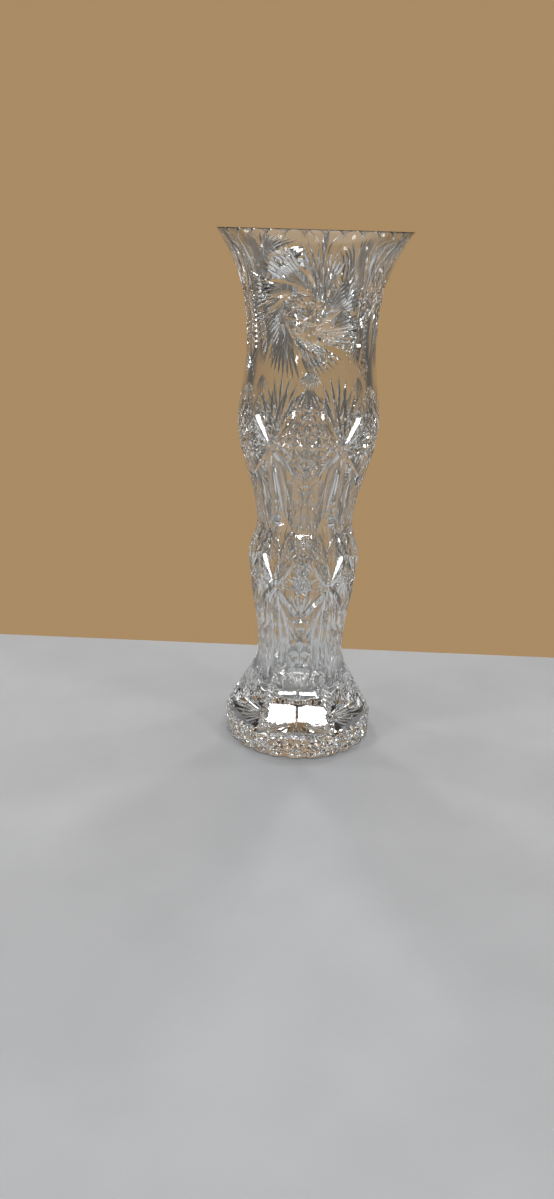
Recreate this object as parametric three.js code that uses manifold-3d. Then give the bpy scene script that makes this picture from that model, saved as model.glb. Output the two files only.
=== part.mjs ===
// A tall cut crystal vase, in millimetres, +Z up, standing on z = 0 with its axis on Z.
// The blown bowl and the applied foot are separate solids. The front of the cut pattern faces -Y.
import * as THREE from "three";
import { mergeVertices } from "three/addons/utils/BufferGeometryUtils.js";
import Module from "manifold-3d";

const wasm = await Module();
wasm.setup();

// Driving dimensions of the outline, from the rim down. Each radius has the height where it lies.
const rimRadius = 63;
const rimHeight = 354;
const neckRadius = 42.9;
const neckHeight = 284;
const upperBulgeRadius = 47.8;
const upperBulgeHeight = 232;
const waistRadius = 33.6;
const waistHeight = 163;
const lowerBulgeRadius = 38.8;
const lowerBulgeHeight = 138;
const stemRadius = 30.8;
const stemHeight = 66;
const footThickness = 18;
const footRadius = 54.4;

// The cavity.
const wall = 6.5;
const floorThickness = 9;
const floorCorner = 14;

// The seam where the applied foot is fused under the bowl.
const seamGap = 0.3;

// The cuts.
const scallopCount = 32;
const scallopDepth = 4.6;
const mitreDepth = 1.5;
const mitreHalfAngle = THREE.MathUtils.degToRad(52);
const latticeColumns = 6;
const latticeDrops = [22, 24, 24, 28, 24, 31, 23]; // from each row of crossings to the next one down
const latticeTopBelowBulge = 10;
const pinwheelCount = 3;
const pinwheelVanes = 8;
const pinwheelAboveNeck = 22;
const pinwheelReach = 33;
const buttonRadius = 12;
const panelCount = 6;
const panelTop = 84;
const footScallopCount = 24;
const footScallopDepth = 2.2;
const starRays = 32;
const starInner = 4;
const starOuter = 38;
const starDepth = 1.4;
const starSpread = 0.8; // the share of the room between two rays that each one takes
const restRingInner = 42;
const restRelief = 0.8;
const footBevel = 2;

// How finely the round shapes are divided.
const outerSides = 60;
const innerSides = 36;
const lobeSegments = 6;
const stretchRings = 3;

const shoulderRadius = footRadius - footBevel;
const seamHeight = footThickness + seamGap;
const floorHeight = seamHeight + floorThickness;
const fullTurn = 2 * Math.PI;

// The outline is a chain of stretches between the narrow and the wide places.
const ease = (t) => t * t * (3 - 2 * t);
const bell = (t) => ease(t ** 0.85);
const sweep = (t) => t ** 2.5;
const stretches = [
  { from: [shoulderRadius, seamHeight], to: [stemRadius, stemHeight], along: bell },
  { from: [stemRadius, stemHeight], to: [lowerBulgeRadius, lowerBulgeHeight], along: ease },
  { from: [lowerBulgeRadius, lowerBulgeHeight], to: [waistRadius, waistHeight], along: ease },
  { from: [waistRadius, waistHeight], to: [upperBulgeRadius, upperBulgeHeight], along: ease },
  { from: [upperBulgeRadius, upperBulgeHeight], to: [neckRadius, neckHeight], along: ease },
  { from: [neckRadius, neckHeight], to: [rimRadius, rimHeight], along: sweep },
];

// The outline's radius at a height.
function radiusAt(z) {
  const found = stretches.find((s) => z <= s.to[1]) ?? stretches.at(-1);
  const t = THREE.MathUtils.clamp((z - found.from[1]) / (found.to[1] - found.from[1]), 0, 1);
  return found.from[0] + (found.to[0] - found.from[0]) * found.along(t);
}

// The heights that divide the outline, from the seam to the rim.
function outlineHeights() {
  const heights = [seamHeight];
  for (const { from, to } of stretches) {
    const step = (to[1] - from[1]) / stretchRings;
    for (let ring = 1; ring <= stretchRings; ring++) heights.push(from[1] + ring * step);
  }
  return heights;
}

// A place on the bowl's outside. Angle 0 is the front, and angles grow towards +X.
function surfacePoint(angle, z) {
  const radius = radiusAt(z);
  return new THREE.Vector3(radius * Math.sin(angle), -radius * Math.cos(angle), z);
}

function surfaceNormal(angle, z) {
  const step = 0.5;
  const slope = (radiusAt(z + step) - radiusAt(z - step)) / (2 * step);
  return new THREE.Vector3(Math.sin(angle), -Math.cos(angle), -slope).normalize();
}

// Solids for cutting, and geometry for the meshes.
function toSolid(geometry) {
  const bare = geometry.clone();
  bare.deleteAttribute("normal");
  bare.deleteAttribute("uv");
  const merged = mergeVertices(bare, 1e-4);
  const vertProperties = merged.attributes.position.array;
  const triVerts = new Uint32Array(merged.index.array);
  return new wasm.Manifold(new wasm.Mesh({ numProp: 3, vertProperties, triVerts }));
}

function toGeometry(solid) {
  const made = solid.getMesh();
  const geometry = new THREE.BufferGeometry();
  geometry.setAttribute("position", new THREE.BufferAttribute(made.vertProperties, 3));
  geometry.setIndex(new THREE.BufferAttribute(made.triVerts, 1));
  geometry.computeVertexNormals();
  return geometry;
}

// A solid turned about Z from [radius, height] pairs that start and end on the axis.
function turned(profile, sides) {
  const points = profile.map(([radius, height]) => new THREE.Vector2(radius, height));
  return toSolid(new THREE.LatheGeometry(points, sides).rotateX(Math.PI / 2));
}

// A solid through rings of points, with flat ends.
function lofted(rings, outline) {
  const count = rings[0].length;
  const positions = rings.flat().flatMap((point) => point.toArray());
  const faces = [];
  for (let ring = 0; ring < rings.length - 1; ring++) {
    for (let side = 0; side < count; side++) {
      const next = (side + 1) % count;
      const [a, b] = [ring * count + side, ring * count + next];
      faces.push(a, b, b + count, a, b + count, a + count);
    }
  }
  const last = (rings.length - 1) * count;
  for (const [a, b, c] of THREE.ShapeUtils.triangulateShape(outline, [])) {
    faces.push(c, b, a, last + a, last + b, last + c);
  }
  const geometry = new THREE.BufferGeometry();
  geometry.setAttribute("position", new THREE.Float32BufferAttribute(positions, 3));
  geometry.setIndex(faces);
  const solid = toSolid(geometry);
  if (solid.volume() > 0) return solid;
  for (let face = 0; face < faces.length; face += 3) {
    [faces[face + 1], faces[face + 2]] = [faces[face + 2], faces[face + 1]];
  }
  geometry.setIndex(faces);
  return toSolid(geometry);
}

// The wheel's V section, swept along places and their normals. depthAt gives its depth, from 0 to 1 along.
function vCutter(places, normals, depthAt, halfAngle) {
  const proud = 2;
  const rings = places.map((place, index) => {
    const ahead = places[Math.min(index + 1, places.length - 1)];
    const behind = places[Math.max(index - 1, 0)];
    const along = ahead.clone().sub(behind).normalize();
    const side = along.cross(normals[index]).normalize();
    const depth = depthAt(index / (places.length - 1));
    const half = Math.tan(halfAngle) * (depth + proud);
    const top = place.clone().addScaledVector(normals[index], proud);
    return [
      place.clone().addScaledVector(normals[index], -depth),
      top.clone().addScaledVector(side, half),
      top.clone().addScaledVector(side, -half),
    ];
  });
  const outline = [new THREE.Vector2(0, 0), new THREE.Vector2(1, 1), new THREE.Vector2(-1, 1)];
  return lofted(rings, outline);
}

// A mitre on the bowl through [angle, height] pairs, running out to nothing at both ends.
function bowlMitre(route, depth) {
  const places = route.map(([angle, z]) => surfacePoint(angle, z));
  const normals = route.map(([angle, z]) => surfaceNormal(angle, z));
  const runOut = 0.1;
  const depthAt = (t) => (depth + runOut) * Math.sin(Math.PI * t) ** 0.5 - runOut;
  return vCutter(places, normals, depthAt, mitreHalfAngle);
}

// The long crossing mitres: each runs down the bowl and round it, one column for every two rows.
function latticeMitres() {
  const rows = [upperBulgeHeight - latticeTopBelowBulge];
  for (const drop of latticeDrops) rows.push(rows.at(-1) - drop);
  const halfColumn = fullTurn / latticeColumns / 2;
  const cutters = [];
  const stepsPerRow = 2;
  for (let column = 0; column < latticeColumns; column++) {
    for (const hand of [-1, 1]) {
      const start = (column + 0.5) * 2 * halfColumn;
      const route = [];
      for (let step = 0; step <= (rows.length - 1) * stepsPerRow; step++) {
        const row = Math.min(Math.floor(step / stepsPerRow), rows.length - 2);
        const part = step / stepsPerRow - row;
        const z = rows[row] + (rows[row + 1] - rows[row]) * part;
        route.push([start + (hand * step * halfColumn) / stepsPerRow, z]);
      }
      cutters.push(bowlMitre(route, mitreDepth));
    }
  }
  return cutters;
}

// The curved vanes of each pinwheel leave its button at a tangent.
function pinwheelMitres() {
  const cutters = [];
  const steps = 4;
  const curl = THREE.MathUtils.degToRad(70);
  const middle = neckHeight + pinwheelAboveNeck;
  for (let wheel = 0; wheel < pinwheelCount; wheel++) {
    const wheelAngle = (wheel * fullTurn) / pinwheelCount;
    for (let vane = 0; vane < pinwheelVanes; vane++) {
      const start = (vane * fullTurn) / pinwheelVanes;
      const route = [];
      for (let step = 0; step <= steps; step++) {
        const reach = buttonRadius + ((pinwheelReach - buttonRadius) * step) / steps;
        const turn = start + (curl * step) / steps;
        const across = reach * Math.cos(turn);
        route.push([wheelAngle + across / neckRadius, middle + reach * Math.sin(turn)]);
      }
      cutters.push(bowlMitre(route, mitreDepth));
    }
  }
  return cutters;
}

// The gaps between the round lobes of the rim.
function rimNotches() {
  const halfPitch = Math.PI / scallopCount;
  const lobePoints = [1, 0.7, 0];
  const proud = 3;
  const dip = (share) => rimHeight - scallopDepth * (1 - Math.sqrt(1 - (1 - share) ** 2));
  const profile = [
    ...lobePoints.map((share) => [-share, dip(share)]),
    ...lobePoints.slice(0, -1).reverse().map((share) => [share, dip(share)]),
    [1, rimHeight + proud],
    [-1, rimHeight + proud],
  ];
  const outline = profile.map(([share, z]) => new THREE.Vector2(share * rimRadius * halfPitch, z));
  const radii = [rimRadius - 3 * wall, rimRadius + proud];
  return Array.from({ length: scallopCount }, (_, notch) => {
    const middle = (notch + 0.5) * 2 * halfPitch;
    const rings = radii.map((radius) =>
      profile.map(([share, z]) => {
        const angle = middle + share * halfPitch;
        return new THREE.Vector3(radius * Math.sin(angle), -radius * Math.cos(angle), z);
      }),
    );
    return lofted(rings, outline);
  });
}

// What is left inside the flat panels ground on the bell above the foot. They die out up the stem.
function insidePanels() {
  const cornerShare = 1 / Math.cos(Math.PI / panelCount);
  const clear = 2 * rimRadius;
  const profile = [[0, seamHeight - 1], [shoulderRadius, seamHeight - 1]];
  for (const z of outlineHeights().filter((height) => height < panelTop)) {
    const fade = ease((z - seamHeight) / (panelTop - seamHeight));
    profile.push([radiusAt(z) * (1 + (cornerShare - 1) * fade), z]);
  }
  profile.push([clear, panelTop + clear / 2], [clear, rimHeight + 1], [0, rimHeight + 1]);
  const points = profile.map(([radius, height]) => new THREE.Vector2(radius, height));
  const halfPanel = Math.PI / panelCount;
  return toSolid(new THREE.LatheGeometry(points, panelCount, halfPanel).rotateX(Math.PI / 2));
}

// The cavity follows the outline a wall's thickness in. Below the stem it closes in to a round-cornered floor.
function cavity() {
  const floorRadius = stemRadius - wall;
  const profile = [[0, floorHeight]];
  const cornerSteps = 4;
  for (let step = 0; step <= cornerSteps; step++) {
    const turn = ((step / cornerSteps) * Math.PI) / 2;
    profile.push([
      floorRadius - floorCorner + floorCorner * Math.sin(turn),
      floorHeight + floorCorner * (1 - Math.cos(turn)),
    ]);
  }
  for (const z of outlineHeights().filter((height) => height >= stemHeight)) {
    profile.push([radiusAt(z) - wall, z]);
  }
  const above = 5;
  profile.push([rimRadius - wall + above / 2, rimHeight + above], [0, rimHeight + above]);
  return turned(profile, innerSides);
}

function bowlSolid() {
  const outline = outlineHeights().map((z) => [radiusAt(z), z]);
  const blank = turned([[0, seamHeight], ...outline, [0, rimHeight]], outerSides);
  const cutters = [
    ...latticeMitres(),
    ...pinwheelMitres(),
    ...rimNotches(),
    cavity(),
  ];
  return cutters.reduce((solid, cutter) => solid.subtract(cutter), blank.intersect(insidePanels()));
}

// The star under the foot, cut into a relief inside the ring that the vase stands on.
function starMitres() {
  return Array.from({ length: starRays }, (_, ray) => {
    const angle = (ray * fullTurn) / starRays;
    const down = new THREE.Vector3(0, 0, -1);
    const reaches = [starInner, (starInner + starOuter) / 2, starOuter];
    const places = reaches.map(
      (reach) => new THREE.Vector3(reach * Math.sin(angle), -reach * Math.cos(angle), restRelief),
    );
    const runOut = 0.1;
    const depthAt = (t) => (starDepth + runOut) * (1 - (2 * t - 1) ** 2) - runOut;
    const room = (starOuter / 2) * Math.sin(Math.PI / starRays);
    const halfAngle = Math.atan((starSpread * room) / starDepth);
    return vCutter(places, reaches.map(() => down), depthAt, halfAngle);
  });
}

// An upright block whose outline is the ring of round lobes that the foot's edge keeps.
function insideLobes() {
  const halfPitch = Math.PI / footScallopCount;
  const valley = footRadius - footScallopDepth;
  const halfWidth = valley * Math.sin(halfPitch);
  const rise = footRadius - valley * Math.cos(halfPitch);
  const lobeRadius = (halfWidth ** 2 + rise ** 2) / (2 * rise);
  const halfSweep = Math.asin(halfWidth / lobeRadius);
  const outline = new THREE.Shape();
  for (let lobe = 0; lobe < footScallopCount; lobe++) {
    const angle = lobe * 2 * halfPitch;
    const reach = footRadius - lobeRadius;
    const [x, y] = [reach * Math.cos(angle), reach * Math.sin(angle)];
    outline.absarc(x, y, lobeRadius, angle - halfSweep, angle + halfSweep, false);
  }
  const settings = { depth: 3 * footThickness, bevelEnabled: false, curveSegments: lobeSegments };
  const block = new THREE.ExtrudeGeometry(outline, settings);
  return toSolid(block.translate(0, 0, -footThickness));
}

function footSolid() {
  const profile = [
    [0, 0],
    [footRadius - footBevel, 0],
    [footRadius, footBevel],
    [footRadius, footThickness - footBevel],
    [footRadius - footBevel, footThickness],
    [0, footThickness],
  ];
  const blank = turned(profile, outerSides);
  const relief = turned(
    [[0, -1], [restRingInner, -1], [restRingInner, restRelief], [0, restRelief]],
    outerSides,
  );
  const cutters = [relief, ...starMitres()];
  return cutters.reduce((solid, cutter) => solid.subtract(cutter), blank.intersect(insideLobes()));
}

const crystal = () =>
  new THREE.MeshStandardMaterial({
    color: 0xeef2f0,
    roughness: 0.03,
    metalness: 0,
    transparent: true,
    opacity: 0.35,
  });

function part(name, solid) {
  const mesh = new THREE.Mesh(toGeometry(solid), crystal());
  mesh.name = name;
  return mesh;
}

const vase = new THREE.Group();
vase.add(part("bowl", bowlSolid()), part("foot", footSolid()));

export default vase;
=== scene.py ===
# %% [markdown]
# # A tall cut crystal vase
# The real vase is blown thick, given a heavy foot while it is hot, and then cut cold: a glass cutter
# presses it against turning wheels with a V edge until the whole wall is covered in bright grooves.
# This lesson follows that order. It turns the blank, builds the wheel's cuts as thin wedges, and takes
# them out of the blank with Geometry Nodes. Lengths are in millimetres until a mesh is made.

# %% The frame
import math

import bpy
from mathutils import Matrix, Vector


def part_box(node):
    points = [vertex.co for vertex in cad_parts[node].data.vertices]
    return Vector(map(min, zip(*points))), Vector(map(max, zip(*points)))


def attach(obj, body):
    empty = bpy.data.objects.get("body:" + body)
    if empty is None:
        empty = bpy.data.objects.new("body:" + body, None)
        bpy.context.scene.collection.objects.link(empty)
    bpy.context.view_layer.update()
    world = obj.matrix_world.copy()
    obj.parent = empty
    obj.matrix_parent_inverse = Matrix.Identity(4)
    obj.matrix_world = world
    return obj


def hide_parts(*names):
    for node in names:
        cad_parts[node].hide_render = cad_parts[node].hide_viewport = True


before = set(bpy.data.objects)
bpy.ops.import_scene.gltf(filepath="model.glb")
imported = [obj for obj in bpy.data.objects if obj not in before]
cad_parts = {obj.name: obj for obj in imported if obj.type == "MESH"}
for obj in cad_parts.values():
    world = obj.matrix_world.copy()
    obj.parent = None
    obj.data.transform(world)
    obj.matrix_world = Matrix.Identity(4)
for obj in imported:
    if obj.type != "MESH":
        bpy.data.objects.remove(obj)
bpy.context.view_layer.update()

# %% [markdown]
# ## The blank
# The blank is round except at the bottom. Its outline is a chain of smooth stretches between the narrow
# and the wide places, so a few radii and heights say it all. The sizes of the rim and the foot come from
# the frame, and the rest are the places where the outline turns.

# %% Sizes of the blank
MM = 0.001
_, foot_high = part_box("foot")
_, bowl_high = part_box("bowl")
RIM_HEIGHT = bowl_high.z / MM
RIM_RADIUS = bowl_high.x / MM
FOOT_RADIUS = foot_high.x / MM
FOOT_THICKNESS = foot_high.z / MM
FOOT_BEVEL = 2
SHOULDER_RADIUS = FOOT_RADIUS - FOOT_BEVEL
NECK_RADIUS, NECK_HEIGHT = 42.9, 284
UPPER_BULGE_RADIUS, UPPER_BULGE_HEIGHT = 47.8, 232
WAIST_RADIUS, WAIST_HEIGHT = 33.6, 163
LOWER_BULGE_RADIUS, LOWER_BULGE_HEIGHT = 38.8, 138
STEM_RADIUS, STEM_HEIGHT = 30.8, 66
WALL = 6.5
LIP, LIP_HEIGHT = 1.6, 26
print(f"rim {RIM_RADIUS:.1f} at {RIM_HEIGHT:.0f} mm, foot {FOOT_RADIUS:.1f}, {FOOT_THICKNESS:.0f} thick")


# %% The outline
def ease(t):
    return t * t * (3 - 2 * t)


def bell(t):
    return ease(t**0.85)


def sweep(t):
    return t**2.5


STRETCHES = [
    ((SHOULDER_RADIUS, FOOT_THICKNESS), (STEM_RADIUS, STEM_HEIGHT), bell),
    ((STEM_RADIUS, STEM_HEIGHT), (LOWER_BULGE_RADIUS, LOWER_BULGE_HEIGHT), ease),
    ((LOWER_BULGE_RADIUS, LOWER_BULGE_HEIGHT), (WAIST_RADIUS, WAIST_HEIGHT), ease),
    ((WAIST_RADIUS, WAIST_HEIGHT), (UPPER_BULGE_RADIUS, UPPER_BULGE_HEIGHT), ease),
    ((UPPER_BULGE_RADIUS, UPPER_BULGE_HEIGHT), (NECK_RADIUS, NECK_HEIGHT), ease),
    ((NECK_RADIUS, NECK_HEIGHT), (RIM_RADIUS, RIM_HEIGHT), sweep),
]


def outline(z):
    """The round outline's radius at a height above the foot."""
    for (r0, z0), (r1, z1), along in STRETCHES:
        if z <= z1 or z1 == RIM_HEIGHT:
            t = min(max((z - z0) / (z1 - z0), 0), 1)
            return r0 + (r1 - r0) * along(t)


for z in (FOOT_THICKNESS, 100, 200, 300, RIM_HEIGHT):
    print(f"outline radius at {z:5.1f}: {outline(z):.1f} mm")

# %% [markdown]
# ### Six panels and twenty-four lobes
# Above the foot, six panels are ground on the bell, and they die out up the stem. The lowest part of each
# is one flat facet that leans back and leaves a narrow ledge on the foot. A flat panel at a distance `a`
# from the axis lies at radius `a / cos(angle)`, so the smaller of that and the outline is the blank's
# radius. The edge of the foot is a ring of lobes, each an arc of a small circle.

# %% Panels and lobes
PANELS = 6
PANEL_TOP = 84
FACET_FOOT, FACET_LEAN, FACET_TOP = 46.8, 0.46, 38
LOBES = 24
LOBE_DEPTH = 2.2


def off_centre(angle, count):
    """How far an angle is from the middle of the nearest of `count` equal parts, in radians."""
    part = 2 * math.pi / count
    return (angle + part / 2) % part - part / 2


def panelled(angle, z):
    """The radius of a panel's flat face, or of its facet below `FACET_TOP`."""
    corner = math.pi / PANELS
    fade = ease(min(max((z - FOOT_THICKNESS) / (PANEL_TOP - FOOT_THICKNESS), 0), 1))
    upper = outline(z) * (math.cos(corner) + (1 - math.cos(corner)) * fade)
    facet = FACET_FOOT - FACET_LEAN * (z - FOOT_THICKNESS)
    return (facet if z < FACET_TOP else upper) / math.cos(off_centre(angle, PANELS))


def lobed(angle, inset=0):
    """The radius of the foot's edge: lobes that meet in valleys."""
    half = math.pi / LOBES
    valley = FOOT_RADIUS - LOBE_DEPTH
    half_width = valley * math.sin(half)
    rise = FOOT_RADIUS - valley * math.cos(half)
    arc = (half_width**2 + rise**2) / (2 * rise)
    reach = FOOT_RADIUS - arc
    off = off_centre(angle, LOBES)
    return reach * math.cos(off) + math.sqrt(arc**2 - (reach * math.sin(off)) ** 2) - inset


def blank_radius(angle, z):
    if z < FOOT_THICKNESS:
        return lobed(angle)
    return min(outline(z), panelled(angle, z))


# %% Meshes from rings of points
def new_object(name, points, faces):
    """An object of a mesh given in millimetres."""
    mesh = bpy.data.meshes.new(name)
    mesh.from_pydata([tuple(c * MM for c in p) for p in points], [], faces)
    mesh.validate()
    obj = bpy.data.objects.new(name, mesh)
    bpy.context.scene.collection.objects.link(obj)
    return obj


def turned(name, rows, sides):
    """A closed solid of rows (z, radius at an angle) from the bottom up, closed on the axis."""
    points, faces = [(0, 0, rows[0][0])], []
    for z, radius in rows:
        for side in range(sides):
            angle = 2 * math.pi * side / sides
            r = radius(angle) if callable(radius) else radius
            points.append((r * math.sin(angle), -r * math.cos(angle), z))
    points.append((0, 0, rows[-1][0]))
    last_row = 1 + (len(rows) - 1) * sides
    for side in range(sides):
        after = (side + 1) % sides
        faces.append((0, 1 + after, 1 + side))
        faces.append((len(points) - 1, last_row + side, last_row + after))
        for row in range(len(rows) - 1):
            a, b = 1 + row * sides + side, 1 + row * sides + after
            faces.append((a, b, b + sides, a + sides))
    return new_object(name, points, faces)


# %% The blank, turned
SIDES = 180
ROW_STEP = 3.6
HAIR = 0.01  # keeps the foot's last row below the body's first one
FOOT_ROWS = [
    (0, lambda angle: lobed(angle, FOOT_BEVEL)),
    (FOOT_BEVEL, lobed),
    (FOOT_THICKNESS - FOOT_BEVEL, lobed),
    (FOOT_THICKNESS - HAIR, lambda angle: lobed(angle, FOOT_BEVEL)),
]


def blank_row(z):
    return z, lambda angle: blank_radius(angle, z)


row_count = round((RIM_HEIGHT - FOOT_THICKNESS) / ROW_STEP)
body_rows = [
    blank_row(FOOT_THICKNESS + (RIM_HEIGHT - FOOT_THICKNESS) * row / row_count)
    for row in range(row_count + 1)
]
vase = turned("vase", FOOT_ROWS + body_rows, SIDES)
print("blank:", len(vase.data.polygons), "faces")

# %% [markdown]
# ## The cavity
# The blower's breath keeps the inside smooth and nearly parallel to the outside, a wall's thickness in.
# Below the stem it ends in a rounded well, and the glass under it is solid. The cavity is a solid of its
# own, taken out of the blank, so the wall is one closed skin with no seam at the lip.

# %% The cavity, turned
CAVITY_SIDES = 128
FLOOR_HEIGHT = FOOT_THICKNESS + 9.3
WELL_RADIUS = STEM_RADIUS - WALL
WELL_CORNER = 14
CORNER_STEPS = 8
WALL_ROWS = 90
ABOVE_RIM = 5
cavity_rows = []
for step in range(CORNER_STEPS + 1):
    turn = math.pi / 2 * step / CORNER_STEPS
    r = WELL_RADIUS - WELL_CORNER * (1 - math.sin(turn))
    cavity_rows.append((FLOOR_HEIGHT + WELL_CORNER * (1 - math.cos(turn)), r))
for row in range(WALL_ROWS + 1):
    z = STEM_HEIGHT + (RIM_HEIGHT - STEM_HEIGHT) * row / WALL_ROWS
    thinning = ease(max(z - RIM_HEIGHT + LIP_HEIGHT, 0) / LIP_HEIGHT)
    cavity_rows.append((z, outline(z) - WALL + (WALL - LIP) * thinning))
cavity_rows.append((RIM_HEIGHT + ABOVE_RIM, RIM_RADIUS - LIP + ABOVE_RIM))
cavity = turned("cavity", cavity_rows, CAVITY_SIDES)
print("cavity:", len(cavity.data.polygons), "faces")

# %% [markdown]
# ## The wheel
# A mitre wheel has a V edge. Held against the glass it leaves a groove with two flat sides, deepest in the
# middle of the stroke and running out to nothing at its ends. Each stroke here is a wedge swept over the
# blank: a triangle with its point in the glass and its back above it. A round-edged wheel leaves an olive
# instead, a smooth hollow like a lens. `Strokes` collects the wedges and olives of one family, and each
# stays a closed island, so that every one can be cut on its own.


# %% The surface that the wheel follows
def surface(angle, z):
    """The blank's point and outward normal at a height and an angle in degrees (0 is the front)."""

    def point(a, h):
        r = blank_radius(a, h)
        return Vector((r * math.sin(a), -r * math.cos(a), h))

    a, small_turn, small_rise = math.radians(angle), 0.004, 0.2
    across = point(a + small_turn, z) - point(a - small_turn, z)
    along = point(a, z + small_rise) - point(a, z - small_rise)
    return point(a, z), across.cross(along).normalized()


def shifted(angle, z, right, up):
    """The place that lies some millimetres to the right of and above another."""
    return angle + math.degrees(right / outline(z)), z + up


# %% One stroke of the wheel
STEP_LENGTH = 3.5
PROUD = 1.5
RUN_OUT = 0.08
OLIVE_BODY, OLIVE_RINGS, OLIVE_SIDES = 3, 12, 24


class Strokes:
    """A family of wheel strokes: wedges that become one mesh of separate islands."""

    def __init__(self):
        self.points, self.faces, self.count = [], [], 0

    def sweep(self, places, normals, depth_at, half_angle):
        """A wedge through places: three corners at each, joined by quads and closed at both ends."""
        slope = math.tan(math.radians(half_angle))
        first = len(self.points)
        last = len(places) - 1
        for index, (place, normal) in enumerate(zip(places, normals)):
            along = places[min(index + 1, last)] - places[max(index - 1, 0)]
            side = along.cross(normal).normalized()
            depth = depth_at(index / last)
            top = place + normal * PROUD
            half = (depth + PROUD) * slope
            self.points += [place - normal * depth, top - side * half, top + side * half]
        for index in range(last):
            for corner in range(3):
                a = first + index * 3 + corner
                b = first + index * 3 + (corner + 1) % 3
                self.faces.append((a, b, b + 3, a + 3))
        end = first + last * 3
        self.faces += [(first, first + 2, first + 1), (end, end + 1, end + 2)]
        self.count += 1

    def cut(self, route, depth, half_angle=52, peak=0.5, hold=2):
        """A stroke through (angle, z) places. `hold` above 2 keeps the depth up for longer."""
        places, normals = [], []
        for (a0, z0), (a1, z1) in zip(route, route[1:]):
            length = math.hypot(math.radians(a1 - a0) * outline((z0 + z1) / 2), z1 - z0)
            steps = max(2, round(length / STEP_LENGTH))
            for step in range(steps + (route[-1] == (a1, z1))):
                t = step / steps
                place, normal = surface(a0 + (a1 - a0) * t, z0 + (z1 - z0) * t)
                places.append(place)
                normals.append(normal)

        def depth_at(t):
            off = (t - peak) / (peak if t < peak else 1 - peak)
            return (depth + RUN_OUT) * (1 - abs(off) ** hold) - RUN_OUT

        self.sweep(places, normals, depth_at, half_angle)

    def notch(self, angle, z, start, end, depth, half_angle):
        """A straight stroke that doesn't follow the wall's curve, so its two sides are flat facets."""
        ends = [surface(*shifted(angle, z, *place))[0] for place in (start, end)]
        between = ((start[0] + end[0]) / 2, (start[1] + end[1]) / 2)
        _, normal = surface(*shifted(angle, z, *between))
        places = [ends[0], (ends[0] + ends[1]) / 2, ends[1]]
        self.sweep(places, [normal] * 3, lambda t: depth, half_angle)

    def olive(self, angle, z, half_width, half_length, depth, slant=0):
        """The hollow that a round wheel leaves: the cap of an ellipsoid, leaning by `slant` degrees."""
        place, normal = surface(angle, z)
        across = Vector((0, 0, 1)).cross(normal).normalized()
        along = normal.cross(across)
        lean = math.radians(slant)
        across, along = (
            across * math.cos(lean) - along * math.sin(lean),
            across * math.sin(lean) + along * math.cos(lean),
        )
        into = OLIVE_BODY * depth
        widen = 1 / math.sqrt(1 - (1 - 1 / OLIVE_BODY) ** 2)
        middle = place + normal * (into - depth)
        first = len(self.points)
        self.points.append(middle + along * half_length * widen)
        for ring in range(1, OLIVE_RINGS):
            tilt = math.pi * ring / OLIVE_RINGS
            for side in range(OLIVE_SIDES):
                turn = 2 * math.pi * side / OLIVE_SIDES
                level = across * half_width * widen * math.cos(turn) + normal * into * math.sin(turn)
                centre = middle + along * half_length * widen * math.cos(tilt)
                self.points.append(centre + level * math.sin(tilt))
        self.points.append(middle - along * half_length * widen)
        end = len(self.points) - 1
        for side in range(OLIVE_SIDES):
            after = (side + 1) % OLIVE_SIDES
            self.faces.append((first, first + 1 + after, first + 1 + side))
            self.faces.append((end, end - OLIVE_SIDES + side, end - OLIVE_SIDES + after))
            for ring in range(OLIVE_RINGS - 2):
                a, b = (first + 1 + ring * OLIVE_SIDES + k for k in (side, after))
                self.faces.append((a, b, b + OLIVE_SIDES, a + OLIVE_SIDES))
        self.count += 1

    def line(self, angle, z, start, end, depth, **how):
        """A straight stroke between two places given in millimetres from a motif's centre."""
        self.cut([shifted(angle, z, *start), shifted(angle, z, *end)], depth, **how)

    def object(self, name):
        """The family as one mesh, hidden, because it is only a tool."""
        obj = new_object(name, self.points, self.faces)
        obj.hide_render = True
        print(f"{name}: {self.count} strokes")
        return obj


# %% [markdown]
# ## Motifs
# A cutter builds every pattern from a few motifs. A fan is a spray of strokes from one point. A star joins
# each point of a ring to one a few places on, which leaves a raised rosette between the grooves. A
# crosshatch is two sets of parallel strokes, and a ladder is a column of short level strokes.


# %% Fan, star, crosshatch and ladder
def fan(strokes, angle, z, origin, directions, lengths, depth, half_angle=40, start=1.0):
    """Strokes from one origin, each with its own direction in degrees and length."""
    for direction, length in zip(directions, lengths):
        turn = math.radians(direction)
        ray = (math.cos(turn), math.sin(turn))
        begin = (origin[0] + start * ray[0], origin[1] + start * ray[1])
        end = (origin[0] + length * ray[0], origin[1] + length * ray[1])
        strokes.line(angle, z, begin, end, depth, half_angle=half_angle, peak=0.6)


def star(strokes, angle, z, radius, points, skip, depth, turned_by=0.0, half_angle=45):
    """Strokes from each point of a ring to the one `skip` places on."""
    for point in range(points):
        a0 = math.radians(turned_by + 360 / points * point)
        a1 = math.radians(turned_by + 360 / points * (point + skip))
        ends = [(radius * math.cos(a), radius * math.sin(a)) for a in (a0, a1)]
        strokes.line(angle, z, *ends, depth, half_angle=half_angle, hold=4)


def crosshatch(strokes, angle, z, half_width, half_height, lines, depth):
    """Strokes parallel to the sides of a diamond, in both directions."""
    for line in range(1, lines + 1):
        share = line / (lines + 1)
        for hand in (-1, 1):
            start = (hand * half_width * (share - 1), -half_height * share)
            end = (hand * half_width * share, half_height * (1 - share))
            strokes.line(angle, z, start, end, depth, half_angle=45, hold=8)


def ladder(strokes, angle, z_low, z_high, pitch, width, depth):
    """Short level strokes, one above the other."""
    rungs = round((z_high - z_low) / pitch)
    for rung in range(rungs + 1):
        z = z_low + (z_high - z_low) * rung / rungs
        strokes.line(angle, z, (-width / 2, 0), (width / 2, 0), depth, half_angle=48)


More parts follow.
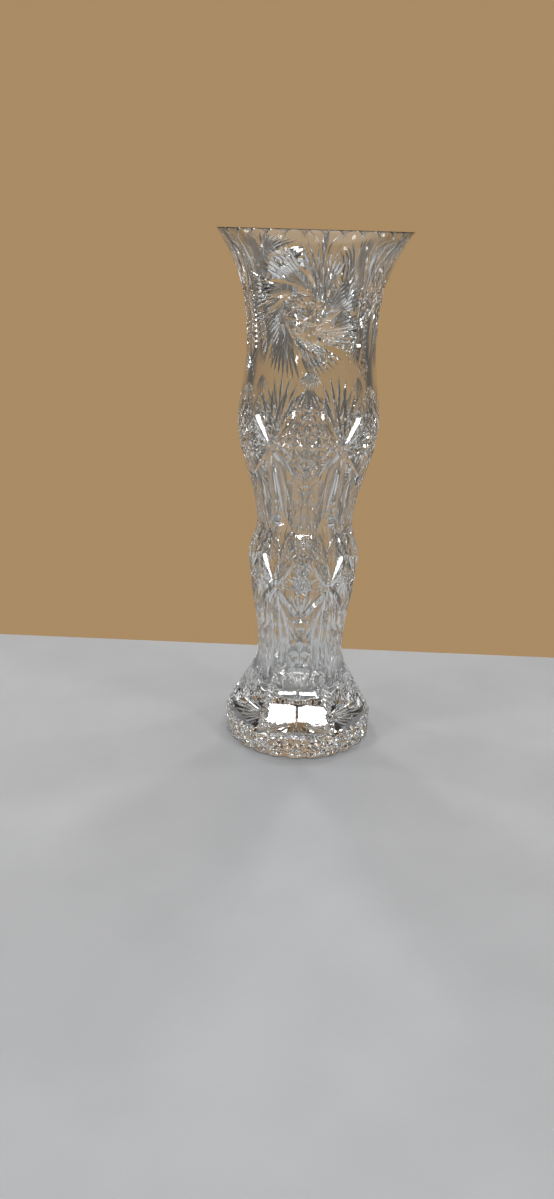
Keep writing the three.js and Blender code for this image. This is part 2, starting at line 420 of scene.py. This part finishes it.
def spread(middle, half_spread, count):
    """Evenly spaced directions about a middle one, in degrees."""
    return [middle + half_spread * (2 * i / (count - 1) - 1) for i in range(count)]


# %% [markdown]
# ## The lattice and the diamonds
# Long mitres run down and round the vase, and cross on the front of each column and between the columns.
# They frame rows of diamonds, and each row has its own filling. Six columns are alike, so one column is
# described here and Geometry Nodes repeats it.

# %% Long mitres of one column
COLUMNS = 6
HALF_COLUMN = 180 / COLUMNS
column = Strokes()
for hand in (-1, 1):
    side = hand * HALF_COLUMN
    column.cut([(0, 249), (side, 222)], 1.2, half_angle=50, hold=8)
    column.cut([(side, 222), (0, 200)], 2.0, half_angle=56, hold=8)
    column.cut([(side * 0.75, 214), (side * 0.62, 180), (side * 0.34, 163)], 1.8, half_angle=56, hold=10)
    column.cut([(0, 152), (side, 123.5)], 1.9, half_angle=56, hold=8)
    column.cut([(side, 123.5), (0, 101)], 1.9, half_angle=56, hold=8)
    column.cut([(side, 122), (side * 0.55, 92), (0, 72)], 1.4, half_angle=58, hold=8)
    column.notch(side, 123.5, (hand * 2, 4), (hand * 9, 22), 1.1, half_angle=60)
    column.notch(side, 222, (hand * 2, 4), (hand * 11, 20), 1.3, half_angle=60)

# %% The upper diamond, crosshatched, with its fans
UPPER = 223
UPPER_WIDTH, UPPER_REACH = math.radians(HALF_COLUMN) * outline(UPPER), 24
crosshatch(column, 0, UPPER, UPPER_WIDTH, UPPER_REACH, 5, 1.1)
for rise in (-8, 0, 8):
    reach = UPPER_WIDTH * (1 - abs(rise) / UPPER_REACH)
    column.line(0, UPPER, (-reach, rise), (reach, rise), 1.2, hold=6)
for right in (-8, 0, 8):
    column.line(0, UPPER, (right, abs(right) - 23), (right, 23 - abs(right)), 0.9, hold=6)
fan(column, HALF_COLUMN, 222, (0, 0), spread(90, 52, 9), [20, 27, 33, 36, 38, 36, 33, 27, 20], 1.5)
fan(column, 0, 262, (0, 0), spread(270, 40, 7), [15, 16, 17, 17, 17, 16, 15], 1.2, half_angle=36)

# %% The clear cells between the columns: two long olives with a mitre between them, and a ladder
for hand in (-1, 1):
    column.olive(HALF_COLUMN + hand * 6.5, 196, 3.6, 20, 1.6, slant=hand * -4)
ladder(column, HALF_COLUMN, 168, 184, 5.3, 8, 1.8)
column.cut([(HALF_COLUMN, 218), (HALF_COLUMN, 188)], 0.9, half_angle=50, hold=6)

# %% The waist: two large olives, a short ladder, three flutes, three small diamonds and a polished notch
for hand in (-1, 1):
    column.olive(hand * 11, 190, 6.6, 12, 3.0, slant=hand * 10)
    column.olive(hand * 9, 171.5, 3.2, 9, 1.4, slant=hand * -12)
column.olive(0, 175, 2.6, 11, 1.2)
ladder(column, 0, 187, 197, 5, 4, 1.6)
crosshatch(column, 0, 168, 6, 5, 3, 0.8)
column.notch(0, 161, (-5.5, 0), (5.5, 0), 1.4, half_angle=63.6)
SMALL = 154.5
for hand in (-1, 1):
    crosshatch(column, hand * 13, SMALL, 6, 9, 3, 1.0)
    for right in (-6.5, 6.5):
        for tip in (-10, 10):
            column.line(hand * 13, SMALL, (right, 0), (0, tip), 1.3, hold=4)
    column.olive(HALF_COLUMN + hand * 8, 147, 3, 11, 1.5, slant=hand * 8)

# %% The lower diamond: a star with rays that meet at its tips
LOWER = 127
LOWER_REACH = 13
for direction in spread(90, 67.5, 4):
    turn = math.radians(direction)
    right, rise = LOWER_REACH * math.cos(turn), LOWER_REACH * math.sin(turn)
    column.line(0, LOWER, (-right, -rise), (right, rise), 1.0, half_angle=42, hold=4)
star(column, 0, LOWER, 9, 8, 3, 1.0, turned_by=22.5)
fan(column, 0, 101, (0, 0), spread(90, 34, 6), [18, 19, 19, 19, 19, 18], 1.5, half_angle=40, start=2)
fan(column, 0, 152, (0, 0), spread(270, 30, 5), [15, 15, 14, 15, 15], 1.0, half_angle=42, start=5)
for hand in (-1, 1):
    fan(column, hand * 26, LOWER, (0, 0), spread(90 + hand * 90, 35, 4), [8, 9, 9, 8], 0.8, start=0)

# %% The fluted cells of the stem
for hand in (-1, 1):
    column.olive(hand * 16, 99, 4.0, 14, 2.4, slant=hand * 12)
    column.olive(HALF_COLUMN + hand * 7.5, 86, 3.0, 20, 1.9, slant=hand * -3)
    column.olive(hand * 9.5, 78, 4.0, 7, 2.2, slant=hand * -20)
ladder(column, HALF_COLUMN, 100, 112, 4, 6, 1.5)
column.olive(0, 93.5, 3.2, 4.5, 1.2)
column.line(0, 99, (-6, 0.5), (6, 0.5), 1.2, half_angle=60)
for hand in (-1, 1):
    column.line(0, 86, (hand * 6, 7), (-hand * 5, -8), 1.1)
    column.line(0, 66, (hand * 1, 5), (hand * 10, -9), 1.4, half_angle=58)
    column.olive(hand * 14, 62, 3, 9, 1.3, slant=hand * 10)

# %% The bell: a mitre down each panel, crosshatched corners between the panels, and a row of nicks above
column.cut([(0, 58), (0, 20)], 0.9, half_angle=50, hold=8)
BAND_LOW, BAND_HIGH, BAND_PITCH = 20, 62, 3.5
for step in range(round((BAND_HIGH - BAND_LOW) / BAND_PITCH)):
    z = BAND_LOW + BAND_PITCH * (step + 0.5)
    for hand in (-1, 1):
        column.line(HALF_COLUMN, z, (-hand * 4, -BAND_PITCH), (hand * 4, BAND_PITCH), 1.0, half_angle=45)
crosshatch(column, HALF_COLUMN, 29, 5, 9, 3, 1.0)
for hand in (-1, 1):
    for nick in range(5):
        place = hand * (3.5 + 2.2 * nick)
        column.line(0, 52, (place, 2), (place, -2.5), 0.5)

# %% [markdown]
# ## The pinwheels
# The neck carries three large pinwheels. Bold strokes leave a star-cut button at a tangent and curl, and
# from the root of each one a fan of straight strokes fills the space up to the next.

# %% One pinwheel
PINWHEELS = 3
WHEEL_HEIGHT = 306
WHEEL_ANGLE = -8
BUTTON = 13
REACH = 41
VANES, FIRST_VANE = 8, 22.5
VANE_START, VANE_BENDS, BEND_LENGTH, BEND_TURN = 92, 7, 5.6, 5
FAN_LEAN, FAN_SPREAD, FAN_RAYS = 66, 20, 8
wheel = Strokes()
for skip, depth in ((3, 1.4), (2, 0.8)):
    star(wheel, WHEEL_ANGLE, WHEEL_HEIGHT, BUTTON - 0.5, 8, skip, depth, turned_by=10, half_angle=42)


def ray_length(root, direction):
    """How far a ray can run from the button before it leaves the pinwheel."""
    cosine = math.cos(math.radians(direction - root))
    return -BUTTON * cosine + math.sqrt(REACH**2 - BUTTON**2 * (1 - cosine**2))


for vane in range(VANES):
    root = FIRST_VANE + 360 / VANES * vane
    base = (BUTTON * math.cos(math.radians(root)), BUTTON * math.sin(math.radians(root)))
    places, here, heading = [], Vector(base), root + VANE_START
    for _ in range(VANE_BENDS):
        places.append(shifted(WHEEL_ANGLE, WHEEL_HEIGHT, *here))
        here += Vector((math.cos(math.radians(heading)), math.sin(math.radians(heading)))) * BEND_LENGTH
        heading += BEND_TURN
    wheel.cut(places, 2.2, half_angle=52, peak=0.45)
    directions = spread(root + FAN_LEAN, FAN_SPREAD, FAN_RAYS)
    lengths = [ray_length(root, direction) for direction in directions]
    fan(wheel, WHEEL_ANGLE, WHEEL_HEIGHT, base, directions, lengths, 1.2, half_angle=42)

# %% Ladders and mitres between the pinwheels
BETWEEN = WHEEL_ANGLE + 180 / PINWHEELS
ladder(wheel, BETWEEN, 282, 314, 3.2, 5, 0.9)
for side in (-6, 6):
    ends = [shifted(BETWEEN, 300, side, rise) for rise in (22, -24)]
    wheel.cut(ends, 1.8, half_angle=56, hold=4)
    wheel.olive(BETWEEN + side * 1.6, 332, 4, 15, 1.5, slant=side * 2)
wheel.cut([(BETWEEN, 351), (BETWEEN, 316)], 1.8, half_angle=50)
crosshatch(wheel, BETWEEN, 272, 7, 11, 3, 1.0)

# %% [markdown]
# ## The foot and the rim
# The edge of the foot is cross-cut and its underside carries a star of thirty-two rays, which shows through
# the panels. The rim is cut last: a gap between every two teeth, with the teeth left round.

# %% The foot's edge and the star under it
LOBE_STEP = 360 / LOBES
HATCHES = 3
EDGE_MARGIN = 0.8
EDGE_SPAN = (EDGE_MARGIN, FOOT_THICKNESS - EDGE_MARGIN)
edge = Strokes()
for hatch in range(HATCHES):
    angle = LOBE_STEP * (hatch + 0.5) / HATCHES
    for hand in (-1, 1):
        lean = hand * LOBE_STEP * 0.36
        ends = list(zip((angle - lean, angle + lean), EDGE_SPAN))
        edge.cut(ends, 0.8, half_angle=46, hold=10)
edge.cut([(LOBE_STEP / 2, z) for z in EDGE_SPAN], 1.2, half_angle=40, hold=8)

STAR_RAYS = 32
REST_RING, RELIEF = 42, 0.8
RAY_PLACES = [Vector((0, -reach, RELIEF)) for reach in (4, 14, 24, 34, 41)]
RAY_DEPTH, RAY_RUN_OUT = 1.1, 0.1


def ray_depth(t):
    return RAY_DEPTH * (1 - (2 * t - 1) ** 2) - RAY_RUN_OUT


under = Strokes()
under.sweep(RAY_PLACES, [Vector((0, 0, -1))] * len(RAY_PLACES), ray_depth, 45)


# %% The gaps between the rim's teeth
TEETH = 32
TOOTH_HEIGHT = 4.6
ARC_STEPS = 8
CLEAR = 3


def rim_gap():
    """A block under an outline that follows two neighbouring teeth and closes above them."""
    half = 180 / TEETH
    shares = [i / ARC_STEPS for i in range(-ARC_STEPS, ARC_STEPS + 1)]

    def tooth(share):
        return RIM_HEIGHT - TOOTH_HEIGHT * (1 - math.sqrt(1 - (1 - abs(share)) ** 2))

    border = [(share, tooth(share)) for share in shares]
    border += [(1, RIM_HEIGHT + CLEAR), (-1, RIM_HEIGHT + CLEAR)]
    points = []
    for radius in (RIM_RADIUS - 3 * WALL, RIM_RADIUS + CLEAR):
        for share, z in border:
            a = math.radians(half * (1 + share))
            points.append((radius * math.sin(a), -radius * math.cos(a), z))
    n = len(border)
    faces = [tuple(range(n)), tuple(reversed(range(n, 2 * n)))]
    faces += [(i, n + i, n + (i + 1) % n, (i + 1) % n) for i in range(n)]
    return new_object("rim gap", points, faces)


gap = rim_gap()
relief = turned("relief", [(-1, REST_RING), (RELIEF, REST_RING)], CAVITY_SIDES)

# %% [markdown]
# ## Cutting
# One Geometry Nodes tree does all the cutting. It splits a family of strokes into its islands, repeats them
# round the axis, and takes them from the blank with the Manifold solver, which is exact and quick even for
# a thousand strokes. It ends in Realize Instances and Set Material, so it leaves a plain mesh.


# %% Sockets as Python values
class Value:
    """A number's socket in a node tree, with arithmetic that adds Math nodes."""

    def __init__(self, tree, socket):
        self.tree, self.socket = tree, socket

    def math(self, operation, first, second):
        return self.tree.node("ShaderNodeMath", {"operation": operation}, {0: first, 1: second})

    def __truediv__(self, other):
        return self.math("DIVIDE", self, other)

    def __pow__(self, other):
        return self.math("POWER", self, other)

    def __mul__(self, other):
        return self.math("MULTIPLY", self, other)

    def __rmul__(self, other):
        return self.math("MULTIPLY", other, self)

    def __radd__(self, other):
        return self.math("ADD", other, self)

    def __rsub__(self, other):
        return self.math("SUBTRACT", other, self)

    def __rtruediv__(self, other):
        return self.math("DIVIDE", other, self)


class Tree:
    """Adds nodes to a node tree: a type, its settings, and the values or links of its sockets."""

    def __init__(self, tree):
        self.tree = tree

    def node(self, kind, settings=None, inputs=None, output=0):
        made = self.tree.nodes.new(kind)
        for name, value in (settings or {}).items():
            if name == "stops":
                ramp = made.color_ramp.elements
                while len(ramp) < len(value):
                    ramp.new(0.5)
                for stop, (place, colour) in zip(ramp, value):
                    stop.position, stop.color = place, (*colour, 1)
            else:
                setattr(made, name, value)
        for name, value in (inputs or {}).items():
            if isinstance(value, Value):
                self.tree.links.new(value.socket, made.inputs[name])
            else:
                made.inputs[name].default_value = value
        return Value(self, made.outputs[output]) if made.outputs else None

    def mix_colour(self, factor, first, second):
        """A blend of two colours. A Mix node keeps its colour sockets at places 6, 7 and 2."""
        return self.node("ShaderNodeMix", {"data_type": "RGBA"}, {0: factor, 6: first, 7: second}, output=2)


# %% [markdown]
# ## Crystal
# Lead crystal is clear and bends light more than window glass: its index is about 1.55. Acid polishing
# leaves the surface bright with a faint ripple, and years of washing leave it a little duller in
# patches. The ripple is a Bump and the patches are in the Roughness; everything else is constant.

# %% The crystal material
crystal = bpy.data.materials.new("crystal")
crystal.use_nodes = True
crystal.node_tree.nodes.clear()
shader = Tree(crystal.node_tree)
position = shader.node("ShaderNodeTexCoord", output=3)
ripple = shader.node("ShaderNodeTexNoise", {}, {"Vector": position, "Scale": 90.0, "Detail": 2.0})
patches = shader.node("ShaderNodeTexNoise", {}, {"Vector": position, "Scale": 25.0, "Detail": 3.0})
bump = shader.node("ShaderNodeBump", {}, {"Height": ripple, "Strength": 0.03, "Distance": 0.001})
glass = shader.node(
    "ShaderNodeBsdfPrincipled",
    {},
    {
        "Base Color": (0.975, 0.985, 0.98, 1),
        "Roughness": 0.02 * patches,
        "Normal": bump,
        "IOR": 1.55,
        "Transmission Weight": 1.0,
    },
)
shader.node("ShaderNodeOutputMaterial", {}, {"Surface": glass})
print("crystal:", len(crystal.node_tree.nodes), "nodes")

# %% The cutting tree
cutting = bpy.data.node_groups.new("Cut round the axis", "GeometryNodeTree")
face = cutting.interface
blank_socket = face.new_socket("Blank", in_out="INPUT", socket_type="NodeSocketGeometry")
cutters_socket = face.new_socket("Cutters", in_out="INPUT", socket_type="NodeSocketObject")
repeats_socket = face.new_socket("Repeats", in_out="INPUT", socket_type="NodeSocketInt")
face.new_socket("Cut", in_out="OUTPUT", socket_type="NodeSocketGeometry")
tree = Tree(cutting)
given = cutting.nodes.new("NodeGroupInput")
blank_in, cutters_in, repeats_in = (
    Value(tree, given.outputs[name]) for name in ("Blank", "Cutters", "Repeats")
)
family = tree.node("GeometryNodeObjectInfo", {}, {"Object": cutters_in}, output="Geometry")
island = tree.node("GeometryNodeInputMeshIsland")
single = tree.node(
    "GeometryNodeSplitToInstances", {"domain": "FACE"}, {"Geometry": family, "Group ID": island}
)
copies = cutting.nodes.new("GeometryNodeDuplicateElements")
copies.domain = "INSTANCE"
cutting.links.new(single.socket, copies.inputs["Geometry"])
cutting.links.new(repeats_in.socket, copies.inputs["Amount"])
turn = Value(tree, copies.outputs["Duplicate Index"]) * (2 * math.pi / repeats_in)
about_z = tree.node("ShaderNodeCombineXYZ", {}, {"Z": turn})
round_axis = tree.node(
    "GeometryNodeRotateInstances",
    {},
    {"Instances": Value(tree, copies.outputs["Geometry"]), "Rotation": about_z, "Local Space": False},
)
taken = tree.node(
    "GeometryNodeMeshBoolean",
    {"operation": "DIFFERENCE", "solver": "MANIFOLD"},
    {"Mesh 1": blank_in, "Mesh 2": round_axis},
)
plain = tree.node("GeometryNodeRealizeInstances", {}, {"Geometry": taken})
finished = tree.node("GeometryNodeSetMaterial", {}, {"Geometry": plain, "Material": crystal})
result = cutting.nodes.new("NodeGroupOutput")
cutting.links.new(finished.socket, result.inputs["Cut"])

# %% Every family taken from the blank in turn
FAMILIES = [
    (column.object("column strokes"), COLUMNS),
    (wheel.object("pinwheel strokes"), PINWHEELS),
    (edge.object("edge strokes"), LOBES),
    (relief, 1),
    (under.object("star strokes"), STAR_RAYS),
    (cavity, 1),
    (gap, TEETH),
]
for cutters, repeats in FAMILIES:
    modifier = vase.modifiers.new(cutters.name, "NODES")
    modifier.node_group = cutting
    modifier[cutters_socket.identifier] = cutters
    modifier[repeats_socket.identifier] = repeats

evaluated = vase.evaluated_get(bpy.context.evaluated_depsgraph_get())
cut_mesh = bpy.data.meshes.new_from_object(evaluated)
vase.modifiers.clear()
vase.data = cut_mesh
for cutters, _ in FAMILIES:
    bpy.data.objects.remove(cutters)
cut_mesh.calc_loop_triangles()
print("cut vase:", len(cut_mesh.loop_triangles), "triangles")

# %% [markdown]
# ### Smooth walls, sharp cuts
# The round walls are shaded smooth and every edge of a cut stays sharp. The bell's lowest facets are
# shaded flat, because the averaged normals of a smooth mesh would bend what they mirror.

# %% Shading
SHARP = 20
FACET_TOLERANCE = 0.02


def on_facet(corner):
    """Whether a corner lies on the plane of one of the bell's lowest facets."""
    x, y, z = (c / MM for c in corner)
    off = off_centre(math.atan2(x, -y), PANELS)
    plane = FACET_FOOT - FACET_LEAN * (z - FOOT_THICKNESS)
    near = abs(math.hypot(x, y) * math.cos(off) - plane) < FACET_TOLERANCE
    return near and FOOT_THICKNESS < z < FACET_TOP


cut_mesh.polygons.foreach_set("use_smooth", [True] * len(cut_mesh.polygons))
cut_mesh.set_sharp_from_angle(angle=math.radians(SHARP))
for polygon in cut_mesh.polygons:
    if all(on_facet(cut_mesh.vertices[i].co) for i in polygon.vertices):
        polygon.use_smooth = False
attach(vase, "root")
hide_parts("bowl", "foot")

# %% [markdown]
# ## The table, the room and the light
# Glass has no colour of its own to show, so it shows the room. A pale table lies under it. Behind it the
# room is a plain warm tan, the other sides are dim, and the ceiling is white: the cuts bend some of each
# into view, which is what draws them. Two small windows in front fill the bell's front facet and the
# notch at the waist with white, four small lights do the same for the notches beside the columns, and
# the soft lights round the sides give the sparkle.

# %% The table
TABLE_WIDTH, TABLE_THICKNESS = 1500, 25
TABLE_FRONT, TABLE_BACK = -620, 148
EDGE_ROUND, EDGE_STEPS = 2.5, 6
TABLE_GAP = 0.15
TABLE_SHARP = 40
profile = [(TABLE_FRONT, -TABLE_THICKNESS), (TABLE_BACK, -TABLE_THICKNESS)]
for step in range(EDGE_STEPS + 1):
    turn = math.pi / 2 * step / EDGE_STEPS
    inset = EDGE_ROUND * (1 - math.cos(turn))
    profile.append((TABLE_BACK - inset, EDGE_ROUND * (math.sin(turn) - 1) - TABLE_GAP))
for step in range(EDGE_STEPS + 1):
    turn = math.pi / 2 * (1 - step / EDGE_STEPS)
    inset = EDGE_ROUND * (1 - math.cos(turn))
    profile.append((TABLE_FRONT + inset, EDGE_ROUND * (math.sin(turn) - 1) - TABLE_GAP))
count = len(profile)
points = [(side * TABLE_WIDTH / 2, y, z) for side in (-1, 1) for y, z in profile]
faces = [tuple(reversed(range(count))), tuple(range(count, 2 * count))]
faces += [(i, (i + 1) % count, count + (i + 1) % count, count + i) for i in range(count)]
table = new_object("table", points, faces)
table.data.polygons.foreach_set("use_smooth", [True] * len(table.data.polygons))
table.data.set_sharp_from_angle(angle=math.radians(TABLE_SHARP))

# %% The table's plaster
plaster = bpy.data.materials.new("plaster")
plaster.use_nodes = True
plaster.node_tree.nodes.clear()
shader = Tree(plaster.node_tree)
position = shader.node("ShaderNodeTexCoord", output=3)
mottle = shader.node("ShaderNodeTexNoise", {}, {"Vector": position, "Scale": 18.0, "Detail": 6.0})
grit = shader.node("ShaderNodeTexNoise", {}, {"Vector": position, "Scale": 260.0, "Detail": 4.0})
tone = shader.mix_colour(mottle, (0.36, 0.365, 0.375, 1), (0.43, 0.436, 0.447, 1))
dents = shader.node("ShaderNodeBump", {}, {"Height": grit, "Strength": 0.25, "Distance": 0.0006})
paint = shader.node(
    "ShaderNodeBsdfPrincipled", {}, {"Base Color": tone, "Roughness": 0.55, "Normal": dents}
)
shader.node("ShaderNodeOutputMaterial", {}, {"Surface": paint})
table.data.materials.append(plaster)

# %% The room
TAN = (0.40, 0.26, 0.13)
DIM = (0.095, 0.088, 0.08)
DARK = (0.02, 0.018, 0.016)
WHITE = (1.2, 1.2, 1.2)
BEHIND_STOPS = [(0.0, TAN), (0.72, TAN), (0.76, DARK), (0.86, DARK), (0.90, WHITE), (1.0, WHITE)]
AROUND_STOPS = [(0.0, DIM), (0.62, DIM), (0.70, DARK), (0.84, DARK), (0.90, WHITE), (1.0, WHITE)]
BESIDE, BEHIND = 0.80, 0.94
world = bpy.data.worlds.new("room")
bpy.context.scene.world = world
world.use_nodes = True
world.node_tree.nodes.clear()
room = Tree(world.node_tree)
direction = room.node("ShaderNodeTexCoord", output=0)
height = room.node("ShaderNodeSeparateXYZ", {}, {"Vector": direction}, output="Z")
depth = room.node("ShaderNodeSeparateXYZ", {}, {"Vector": direction}, output="Y")
share = 0.5 + 0.5 * height
facing = depth / (1 - height * height) ** 0.5
behind = room.node("ShaderNodeValToRGB", {"stops": BEHIND_STOPS}, {"Fac": share})
around = room.node("ShaderNodeValToRGB", {"stops": AROUND_STOPS}, {"Fac": share})
back = room.node(
    "ShaderNodeMapRange",
    {"interpolation_type": "SMOOTHSTEP"},
    {"Value": facing, "From Min": BESIDE, "From Max": BEHIND},
)
colour = room.mix_colour(back, around, behind)
background = room.node("ShaderNodeBackground", {}, {"Color": colour, "Strength": 1.0})
room.node("ShaderNodeOutputWorld", {}, {"Surface": background})


# %% The light
def area_light(name, azimuth, elevation, distance, width, height, power):
    """A rectangle that faces the vase's middle: degrees from the front, metres and watts."""
    data = bpy.data.lights.new(name, "AREA")
    data.shape, data.size, data.size_y, data.energy = "RECTANGLE", width, height, power
    light = bpy.data.objects.new(name, data)
    a, e = math.radians(azimuth), math.radians(elevation)
    back = Vector((math.sin(a) * math.cos(e), -math.cos(a) * math.cos(e), math.sin(e)))
    light.location = Vector((0, 0, RIM_HEIGHT * MM / 2)) + back * distance
    light.rotation_euler = back.to_track_quat("Z", "Y").to_euler()
    bpy.context.scene.collection.objects.link(light)


area_light("window", 0, 16.61, 1.74, 0.18, 0.042, 0.95)
area_light("upper window", 0, 44.87, 1.67, 0.1, 0.04, 0.5)
for azimuth, elevation in ((-25.5, 19.5), (25.5, 19.5), (-23.5, 3), (23.5, 3)):
    area_light("small light", azimuth, elevation, 1.65, 0.08, 0.08, 0.6)
for azimuth, elevation in ((-62, 38), (58, 34), (-110, 30), (115, 26), (-150, 50), (155, 55)):
    area_light("side light", azimuth, elevation, 1.4, 0.12, 0.24, 3.2)

# %% [markdown]
# ## The camera
# The camera looks down at the vase from the height of its rim and a little to the right of its front.

# %% The camera
CAMERA_DISTANCE = 654.1
CAMERA_HEIGHT = 353.0
PITCH, YAW, ROLL = 21.04, -1.57, 1.61
AROUND = 0.5
LENS, SENSOR, NEAREST = 28.82, 36, 0.01
camera_data = bpy.data.cameras.new("camera")
camera_data.lens = LENS
camera_data.sensor_width = SENSOR
camera_data.clip_start = NEAREST
camera = bpy.data.objects.new("camera", camera_data)
bpy.context.scene.collection.objects.link(camera)
bpy.context.scene.camera = camera
pitch, yaw, roll = map(math.radians, (PITCH, YAW, ROLL))
look = Vector((math.sin(yaw) * math.cos(pitch), math.cos(yaw) * math.cos(pitch), -math.sin(pitch)))
level = Vector((math.cos(yaw), -math.sin(yaw), 0))
up = level.cross(look)
right = level * math.cos(roll) + up * math.sin(roll)
up = up * math.cos(roll) - level * math.sin(roll)
pose = Matrix((right, up, -look)).transposed().to_4x4()
pose.translation = Vector((0, -CAMERA_DISTANCE, CAMERA_HEIGHT)) * MM
camera.matrix_world = Matrix.Rotation(math.radians(AROUND), 4, "Z") @ pose
print("camera at", [round(c, 3) for c in camera.matrix_world.translation])

# %% Tones
# The plain Standard view keeps the flashes white and the shadows in the cuts dark.
bpy.context.scene.view_settings.view_transform = "Standard"

# %% Light paths
# Light crosses many faces inside cut glass, so its paths are allowed more turns than usual.
BOUNCES, GLOSSY_BOUNCES = 24, 12
cycles = bpy.context.scene.cycles
cycles.max_bounces = BOUNCES
cycles.transmission_bounces = BOUNCES
cycles.glossy_bounces = GLOSSY_BOUNCES
